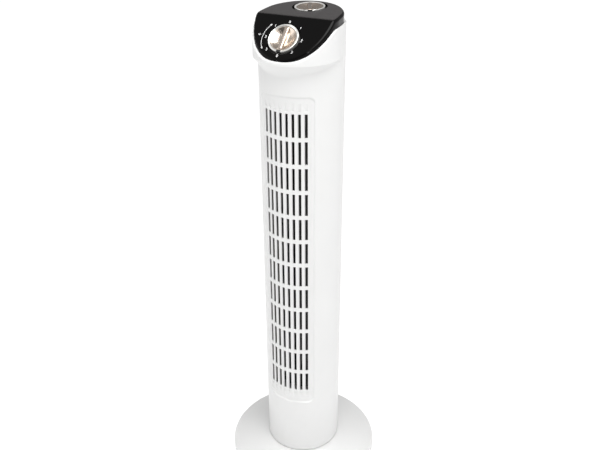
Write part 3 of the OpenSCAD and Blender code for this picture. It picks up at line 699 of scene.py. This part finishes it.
def build_grille_frame():
    """The flange behind the insert, which clips it to the front shell."""
    half_w, inner_w, margin, step = 38.5, 33.3, 3.5, 2.0
    front_r, back_r = GRILLE_BACK_R - 0.1, GRILLE_BACK_R - 2.0
    low, high = WINDOW_Z
    middle = list(np.linspace(-inner_w, inner_w, 15))
    xs = np.array([-half_w, -0.5 * (half_w + inner_w)] + middle
                  + [0.5 * (half_w + inner_w), half_w])
    zs = np.array([low - margin, low + step] + spaced(low + 40, high - 40, 60)
                  + [high - step, high + margin])
    grid_x, grid_z = np.meshgrid(xs, zs)
    outer = np.stack([grid_x, -np.sqrt(front_r ** 2 - grid_x ** 2), grid_z], axis=2)
    inner = np.stack([grid_x, -np.sqrt(back_r ** 2 - grid_x ** 2), grid_z], axis=2)
    mid_x = 0.5 * (xs[1:] + xs[:-1])
    mid_z = 0.5 * (zs[1:] + zs[:-1])
    open_x = np.abs(mid_x) < inner_w
    open_z = (mid_z > low + step) & (mid_z < high - step)
    bm, edges = shell_from_grid(outer, inner, ~(open_z[:, None] & open_x[None, :]))
    bevel(bm, [e for e in edges if e is not None], 0.2, 1)
    finish_piece("grille_frame", bm, "column", MATERIALS["shell"])


# ---- Control head ----

def loop_edges(bm, test):
    return [e for e in bm.edges if e.is_boundary and all(test(v.co) for v in e.verts)]


def extrude_loop(bm, edges, move):
    """Extrudes a boundary loop and moves each new vertex; returns the new loop."""
    made = bmesh.ops.extrude_edge_only(bm, edges=edges)["geom"]
    verts = [g for g in made if isinstance(g, bmesh.types.BMVert)]
    new = set(verts)
    for v in verts:
        v.co = move(v.co)
    return [g for g in made if isinstance(g, bmesh.types.BMEdge)
            and g.verts[0] in new and g.verts[1] in new]


def polar_sheet(centre, radii, cuts):
    """A flat ring mesh from arrays of radii, one per ring, cut along lines of constant X or Y."""
    bm = bmesh.new()
    count = len(radii[0])
    angles = [2 * math.pi * k / count for k in range(count)]
    rings = [[bm.verts.new((centre[0] + r[k] * math.cos(a), centre[1] + r[k] * math.sin(a), 0))
              for k, a in enumerate(angles)] for r in radii]
    for low, high in zip(rings, rings[1:]):
        for k in range(count):
            n = (k + 1) % count
            bm.faces.new([low[k], high[k], high[n], low[n]])
    for axis, value in cuts:
        spot = Vector((0, 0, 0))
        normal = Vector((0, 0, 0))
        spot[axis] = value
        normal[axis] = 1
        bmesh.ops.bisect_plane(bm, geom=bm.verts[:] + bm.edges[:] + bm.faces[:], dist=1e-4,
                               plane_co=spot, plane_no=normal)
    return bm


def raise_sheet(bm, height):
    points = np.array([v.co[:] for v in bm.verts])
    for v, z in zip(bm.verts, height(points[:, 0], points[:, 1])):
        v.co.z = z


def outline_radii(centre_y, inside, angles):
    """Distance from (0, centre_y) to the line that lies inside the cap's outline."""
    low = np.zeros_like(angles)
    high = np.full_like(angles, 130.0)
    for _ in range(40):
        mid = 0.5 * (low + high)
        edge = cap_edge(mid * np.cos(angles), centre_y + mid * np.sin(angles), CAP_INSET)
        low = np.where(edge < -inside, mid, low)
        high = np.where(edge < -inside, high, mid)
    return low


def build_cap():
    angles = np.linspace(0, 2 * math.pi, 288, endpoint=False)
    well_edge = TIMER_WELL_R + 0.6
    start = np.full_like(angles, well_edge)
    top_place = timer_frame()
    band = outline_radii(TIMER_Y, 6.5, angles)
    shares = [0, 0.03, 0.08, 0.16, 0.26, 0.38, 0.5, 0.62, 0.74, 0.86, 1.0]
    radii = [start + (band - start) * s for s in shares]
    for inside in (5.2, 4.5, 4.2, 3.6, 2.9, 2.3, 1.75, 1.25, 0.85, 0.5, 0.25, 0.08, 0.0):
        radii.append(outline_radii(TIMER_Y, inside, angles))
    ridge = [(1, RIDGE_Y + s) for s in (-9, -6, -4.2, -3, -2.1, -1.4, -0.7, 0, 0.7, 1.4, 2.1, 3,
                                        4.2, 6, 9)]
    bm = polar_sheet((0, TIMER_Y), radii, ridge)
    raise_sheet(bm, cap_height)
    rim = loop_edges(bm, lambda c: float(cap_edge(c.x, c.y, CAP_INSET)) > -0.02)
    for share in (0.08, 0.5, 1.0):
        rim = extrude_loop(bm, rim, lambda c: Vector(
            (c.x, c.y, c.z + (float(seam(c.y)) - CAP_SKIRT - c.z) * share)))
    hole = loop_edges(bm, lambda c: math.hypot(c.x, c.y - TIMER_Y) < well_edge + 0.05)
    floor = -TIMER_DEPTH
    for r, z in (well_side(TIMER_WELL_R, TIMER_DEPTH)
                 + [(TIMER_WELL_R - 2.5, floor), (12.0, floor), (BUSHING_HOLE_R, floor)]):
        def to_ring(c, r=r, z=z):
            turn = math.atan2(c.y - TIMER_Y, c.x)
            return top_place @ Vector((r * math.cos(turn), r * math.sin(turn), z))
        hole = extrude_loop(bm, hole, to_ring)
    outward(bm)
    top = max(bm.faces, key=lambda f: f.calc_area())
    if top.normal.z < 0:
        bmesh.ops.reverse_faces(bm, faces=bm.faces)
    bmesh.ops.solidify(bm, geom=bm.faces[:], thickness=CAP_T)
    outward(bm)
    r, floor = SELECTOR_WELL_R, -SELECTOR_DEPTH
    cup = revolve([(0, floor - CAP_T), (r + CAP_T, floor - CAP_T), (r + CAP_T, -0.5 * CAP_T),
                   (0, -0.5 * CAP_T)], 144, False)
    well = revolve([(0, floor)] + well_side(r, SELECTOR_DEPTH)[::-1]
                   + [(r + 0.6, 0.0), (r + 0.6, 12.0), (0, 12.0)], 144, False)
    panel = panel_frame()
    for solid in (cup, well):
        bmesh.ops.transform(solid, matrix=panel, verts=solid.verts)
    hole = rod(BUSHING_HOLE_R, panel @ Vector((0, 0, floor - 8)), panel @ Vector((0, 0, floor + 8)))
    bm = carve(bm, [well, hole], [cup])
    finish_piece("cap_moulding", bm, "column", MATERIALS["cap"], ["control_cap"])


def well_side(r, depth):
    """Side of a round well from its rounded rim to its floor, as (radius, height)."""
    return [(r + 0.3, -0.08), (r + 0.08, -0.3), (r, -0.6), (r, 1.2 - depth),
            (r - 0.15, 0.6 - depth), (r - 0.5, 0.2 - depth), (r - 1.1, -depth)]


def panel_frame(lift=0.0):
    """Frame at the selector's place, with Z pointing out of the panel."""
    tilt = Matrix.Rotation(SLOPE, 4, "X")
    centre = (SELECTOR_X, SELECTOR_Y, panel_plane(SELECTOR_Y))
    return Matrix.Translation(centre) @ tilt @ Matrix.Translation((0, 0, lift))


def timer_frame(lift=0.0):
    """Frame at the timer's place, with Z pointing out of the cap's top."""
    tilt = Matrix.Rotation(TOP_SLOPE, 4, "X")
    centre = (0, TIMER_Y, top_plane(TIMER_Y))
    return Matrix.Translation(centre) @ tilt @ Matrix.Translation((0, 0, lift))


def knob_height(x, y):
    """A dished face crossed by a grip bar with drafted, rounded sides."""
    r = np.hypot(x, y)
    inward = np.clip((FACE_R - 0.8 - r) / (FACE_R - 8.0), 0, 1)
    dish = DISH_Z - DISH_DEPTH * np.sin(0.5 * math.pi * inward)
    side = np.abs(x) - BAR_HALF_W
    wall = BAR_TOP - smooth_max(side + 0.15, 0.0, 0.35) * 6.0
    crown = BAR_TOP - 0.02 * x ** 2 - 0.0006 * y ** 2
    bar = -smooth_max(-wall, -crown, 0.5)
    end = FACE_R - 1.0 - r
    bar = np.minimum(bar, BAR_TOP - smooth_max(-end + 0.2, 0.0, 0.4) * 3.0)
    return smooth_max(dish, bar, 0.45)


def build_knob(name, body, replaces, place):
    count = 144
    radii = [np.full(count, r) for r in
             (0.4, 2, 4, 5.5, 7, 8.5, 10, 11.5, 13, 14.3, 15.4, 16.2, 16.9, 17.4, 17.8, 18.1, 18.35,
              FACE_R)]
    offsets = (1.2, 2.0, 2.4, 2.65, 2.85, 3.0, 3.15, 3.3, 3.45, 3.6, 3.8, 4.2, 5.0)
    cuts = [(0, s * x) for x in offsets for s in (-1, 1)]
    bm = polar_sheet((0, 0), radii, cuts)
    centre = [v for v in bm.verts if v.co.length < 0.41]
    bmesh.ops.contextual_create(bm, geom=centre)
    raise_sheet(bm, knob_height)
    rim = loop_edges(bm, lambda c: math.hypot(c.x, c.y) > FACE_R - 0.01)
    for r, z in ((FACE_R, None), (FACE_R, 0.0), (9.0, 0.0), (9.0, 2.4), (3.03, 2.4), (3.03, 5.0)):
        def to_ring(c, r=r, z=z):
            scale = r / math.hypot(c.x, c.y)
            return Vector((c.x * scale, c.y * scale, c.z - 0.3 if z is None else z))
        rim = extrude_loop(bm, rim, to_ring)
    bmesh.ops.contextual_create(bm, geom=rim)
    outward(bm)
    finish_piece(name, bm, body, MATERIALS["satin"], replaces, place=place)


def build_trim(name, body, replaces, place):
    inner_r = KNOB_R - TRIM_T
    profile = (
        [(inner_r, 0), (KNOB_R - 0.3, 0), (KNOB_R, 0.3)]
        + arc((KNOB_R - 0.8, KNOB_H - 0.8), 0.8, 0, 80, 5)
        + [(KNOB_R - 1.1, KNOB_H - 0.03), (KNOB_R - 1.5, KNOB_H - 0.12),
           (KNOB_R - 2.0, KNOB_H - 0.5), (inner_r + 0.1, KNOB_H - 1.0), (inner_r, KNOB_H - 1.3)])
    half = math.asin(NOTCH_HALF_W / KNOB_R)
    middle = 1.5 * math.pi
    edges = [middle + s * (half + d) for s in (-1, 1) for d in (-0.012, 0.012, 0.05)]
    plain = [2 * math.pi * k / 120 for k in range(120)
             if abs(2 * math.pi * k / 120 - middle) > half + 0.06]
    across = [middle + half * t for t in (-0.6, -0.2, 0.2, 0.6)]

    def clip(angle):
        return NOTCH_Z if abs(angle - middle) < half - 0.001 else KNOB_H

    bm = revolve(profile, sorted(plain + edges + across), True, clip)
    finish_piece(name, bm, body, MATERIALS["chrome"], replaces, place=place)


def build_notch_insert(name, body, place):
    """The black insert in the trim ring's notch, which shows where the grip bar points."""
    half_w, low, high = NOTCH_HALF_W - 0.06, NOTCH_Z + 0.05, KNOB_H - 0.5
    xs = np.linspace(-half_w, half_w, 9)
    zs = np.array([low, 0.5 * (low + high), high])
    grid_x, grid_z = np.meshgrid(xs, zs)
    outer = np.stack([grid_x, -np.sqrt((KNOB_R - 0.35) ** 2 - grid_x ** 2), grid_z], axis=2)
    inner_r = KNOB_R - TRIM_T + FIT_GAP
    inner = np.stack([grid_x, -np.sqrt(inner_r ** 2 - grid_x ** 2), grid_z], axis=2)
    bm, edges = shell_from_grid(outer, inner, np.ones((2, 8), bool))
    bevel(bm, [e for e in edges if e is not None], 0.25)
    finish_piece(name, bm, body, MATERIALS["rubber"], place=place)


# ---- Printed marks ----

DIGITS = {
    "0": [[(0.27 * math.cos(a), 0.5 * math.sin(a)) for a in np.linspace(0, 2 * math.pi, 17)]],
    "1": [[(-0.16, 0.28), (0.06, 0.5), (0.06, -0.5)]],
    "2": [[(-0.27, 0.28), (-0.2, 0.44), (0, 0.5), (0.2, 0.43), (0.26, 0.24), (0.12, -0.02),
           (-0.28, -0.5), (0.3, -0.5)]],
    "3": [[(-0.26, 0.4), (0, 0.5), (0.2, 0.4), (0.22, 0.2), (0.02, 0.04), (0.22, -0.1),
           (0.25, -0.33), (0.05, -0.5), (-0.27, -0.4)]],
}


def add_ribbon(bm, points, width, low, high):
    """A flat printed stroke along a line of points on the panel."""
    points = [Vector((p[0], p[1])) for p in points]
    rings = []
    for k, p in enumerate(points):
        ahead = points[min(k + 1, len(points) - 1)] - points[max(k - 1, 0)]
        side = Vector((-ahead.y, ahead.x)).normalized() * (width / 2)
        rings.append([bm.verts.new((p.x + s * side.x, p.y + s * side.y, z))
                      for s, z in ((1, low), (1, high), (-1, high), (-1, low))])
    for a, b in zip(rings, rings[1:]):
        for k in range(4):
            n = (k + 1) % 4
            bm.faces.new([a[k], a[n], b[n], b[k]])
    bm.faces.new(rings[0])
    bm.faces.new(list(reversed(rings[-1])))


def build_marks():
    bm = bmesh.new()
    low, high = -0.2, 0.07
    for k, digit in enumerate("01230321"):
        angle = math.radians(90 - 45 * k)
        at = (DIGIT_RING_R * math.cos(angle), DIGIT_RING_R * math.sin(angle))
        for stroke in DIGITS[digit]:
            line = [(at[0] + DIGIT_H * x, at[1] + DIGIT_H * y) for x, y in stroke]
            add_ribbon(bm, line, DIGIT_STROKE, low, high)
    sweep = [math.radians(a) for a in np.linspace(141, 215, 24)]
    line = [(SWEEP_R * math.cos(a), SWEEP_R * math.sin(a)) for a in sweep]
    add_ribbon(bm, line, SWEEP_STROKE, low, high)
    for a, way in ((sweep[0], -1), (sweep[-1], 1)):
        tip = Vector((SWEEP_R * math.cos(a), SWEEP_R * math.sin(a)))
        along = Vector((-math.sin(a), math.cos(a))) * way
        across = Vector((math.cos(a), math.sin(a)))
        for s in (-1, 1):
            back = tip - along * 1.9 + across * 1.2 * s
            add_ribbon(bm, [tip + along * 0.4, back], SWEEP_STROKE, low, high + 0.02)
    # A sign for the swing: a short upright with two chevrons
    sign = Vector((-36.0, 2.6))
    add_ribbon(bm, [sign + Vector((0, -1.6)), sign + Vector((0, 1.6))], 0.6, low, high)
    for s in (-1, 1):
        chevron = [sign + Vector((s * 0.9, 1.0)), sign + Vector((s * 1.8, 0)),
                   sign + Vector((s * 0.9, -1.0))]
        add_ribbon(bm, chevron, 0.5, low, high)
    outward(bm)
    finish_piece("panel_marks", bm, "column", MATERIALS["print"],
                 place=panel_frame())


# ---- Stage ----

def build_floor():
    bm = bmesh.new()
    bmesh.ops.create_grid(bm, x_segments=2, y_segments=2, size=FLOOR_HALF)
    mesh = bpy.data.meshes.new("floor")
    bm.to_mesh(mesh)
    bm.free()
    material, _, _, shader = new_material("white floor")
    shader.inputs["Base Color"].default_value = (0.25, 0.25, 0.25, 1)
    shader.inputs["Roughness"].default_value = 0.9
    shader.inputs["Emission Color"].default_value = (1, 1, 1, 1)
    shader.inputs["Emission Strength"].default_value = 0.9
    mesh.materials.append(material)
    floor = bpy.data.objects.new("floor", mesh)
    bpy.context.scene.collection.objects.link(floor)


def build_world():
    """Even white surroundings with two dim parts: low behind, and above the front."""
    world = bpy.data.worlds.new("studio")
    world.use_nodes = True
    bpy.context.scene.world = world
    nodes = world.node_tree.nodes
    links = world.node_tree.links
    background = next(n for n in nodes if n.type == "BACKGROUND")
    background.inputs["Color"].default_value = (1, 1, 1, 1)
    place = nodes.new("ShaderNodeTexCoord")
    strength = background.inputs["Strength"]
    # Each patch: where its middle is, its inner and outer angle, and how much it takes away
    patches = [((-0.43, 0.88, 0.30), 30, 95, 0.46), ((0.02, -0.80, 0.60), 14, 36, 0.68)]
    total = None
    for direction, inner, outer, drop in patches:
        toward = nodes.new("ShaderNodeVectorMath")
        toward.operation = "DOT_PRODUCT"
        toward.inputs[1].default_value = Vector(direction).normalized()
        links.new(place.outputs["Generated"], toward.inputs[0])
        level = nodes.new("ShaderNodeMapRange")
        level.interpolation_type = "SMOOTHSTEP"
        level.inputs["From Min"].default_value = math.cos(math.radians(outer))
        level.inputs["From Max"].default_value = math.cos(math.radians(inner))
        level.inputs["To Min"].default_value = WORLD_LEVEL if total is None else 0.0
        level.inputs["To Max"].default_value = WORLD_LEVEL - drop if total is None else drop
        links.new(toward.outputs["Value"], level.inputs["Value"])
        if total is None:
            total = level.outputs["Result"]
            continue
        less = nodes.new("ShaderNodeMath")
        less.operation = "SUBTRACT"
        links.new(total, less.inputs[0])
        links.new(level.outputs["Result"], less.inputs[1])
        total = less.outputs["Value"]
    links.new(total, strength)


def add_light(name, place, aim, size, power):
    light = bpy.data.lights.new(name, "AREA")
    light.shape = "RECTANGLE"
    light.size, light.size_y = size
    light.energy = power
    lamp = bpy.data.objects.new(name, light)
    lamp.location = place
    lamp.rotation_euler = (Vector(aim) - Vector(place)).to_track_quat("-Z", "Y").to_euler()
    bpy.context.scene.collection.objects.link(lamp)


def build_camera():
    data = bpy.data.cameras.new("camera")
    data.lens = 45.68
    data.sensor_width = 36.0
    data.shift_x = -0.0043
    data.clip_end = 50
    camera = bpy.data.objects.new("camera", data)
    level_part = math.cos(CAMERA_DOWN)
    forward = Vector((-math.sin(CAMERA_TURN) * level_part, math.cos(CAMERA_TURN) * level_part,
                      -math.sin(CAMERA_DOWN)))
    camera.location = CAMERA_PLACE
    level = forward.to_track_quat("-Z", "Y")
    roll = Matrix.Rotation(CAMERA_ROLL, 4, "Z")
    camera.rotation_euler = (level.to_matrix().to_4x4() @ roll).to_euler()
    bpy.context.scene.collection.objects.link(camera)
    bpy.context.scene.camera = camera


build_camera()
build_floor()
build_world()
add_light("left softbox", (-1.9, -1.2, 1.6), (0, 0, 0.6), (1.3, 1.3), 5)
add_light("top softbox", (0.5, -0.6, 2.7), (0, 0, 0.1), (1.6, 1.6), 52)
add_light("edge light", (1.0, -1.9, 1.85), (0, -0.05, 0.72), (0.08, 0.4), 6)
bpy.context.scene.view_settings.view_transform = "Standard"

finish_cad_nodes()
build_base_cover()
build_front_shell()
build_grille()
build_grille_frame()
build_cap()
selector_place = panel_frame(KNOB_LIFT - SELECTOR_DEPTH)
timer_place = timer_frame(KNOB_LIFT - TIMER_DEPTH) @ Matrix.Rotation(TIMER_TURN, 4, "Z")
build_knob("selector_grip", "selector", ["selector_knob"], selector_place)
build_trim("selector_ring", "selector", ["selector_trim"], selector_place)
build_knob("timer_grip", "timer", ["timer_knob"], timer_place)
build_trim("timer_ring", "timer", ["timer_trim"], timer_place)
build_notch_insert("selector_pointer", "selector", selector_place)
build_notch_insert("timer_pointer", "timer", timer_place)
build_marks()
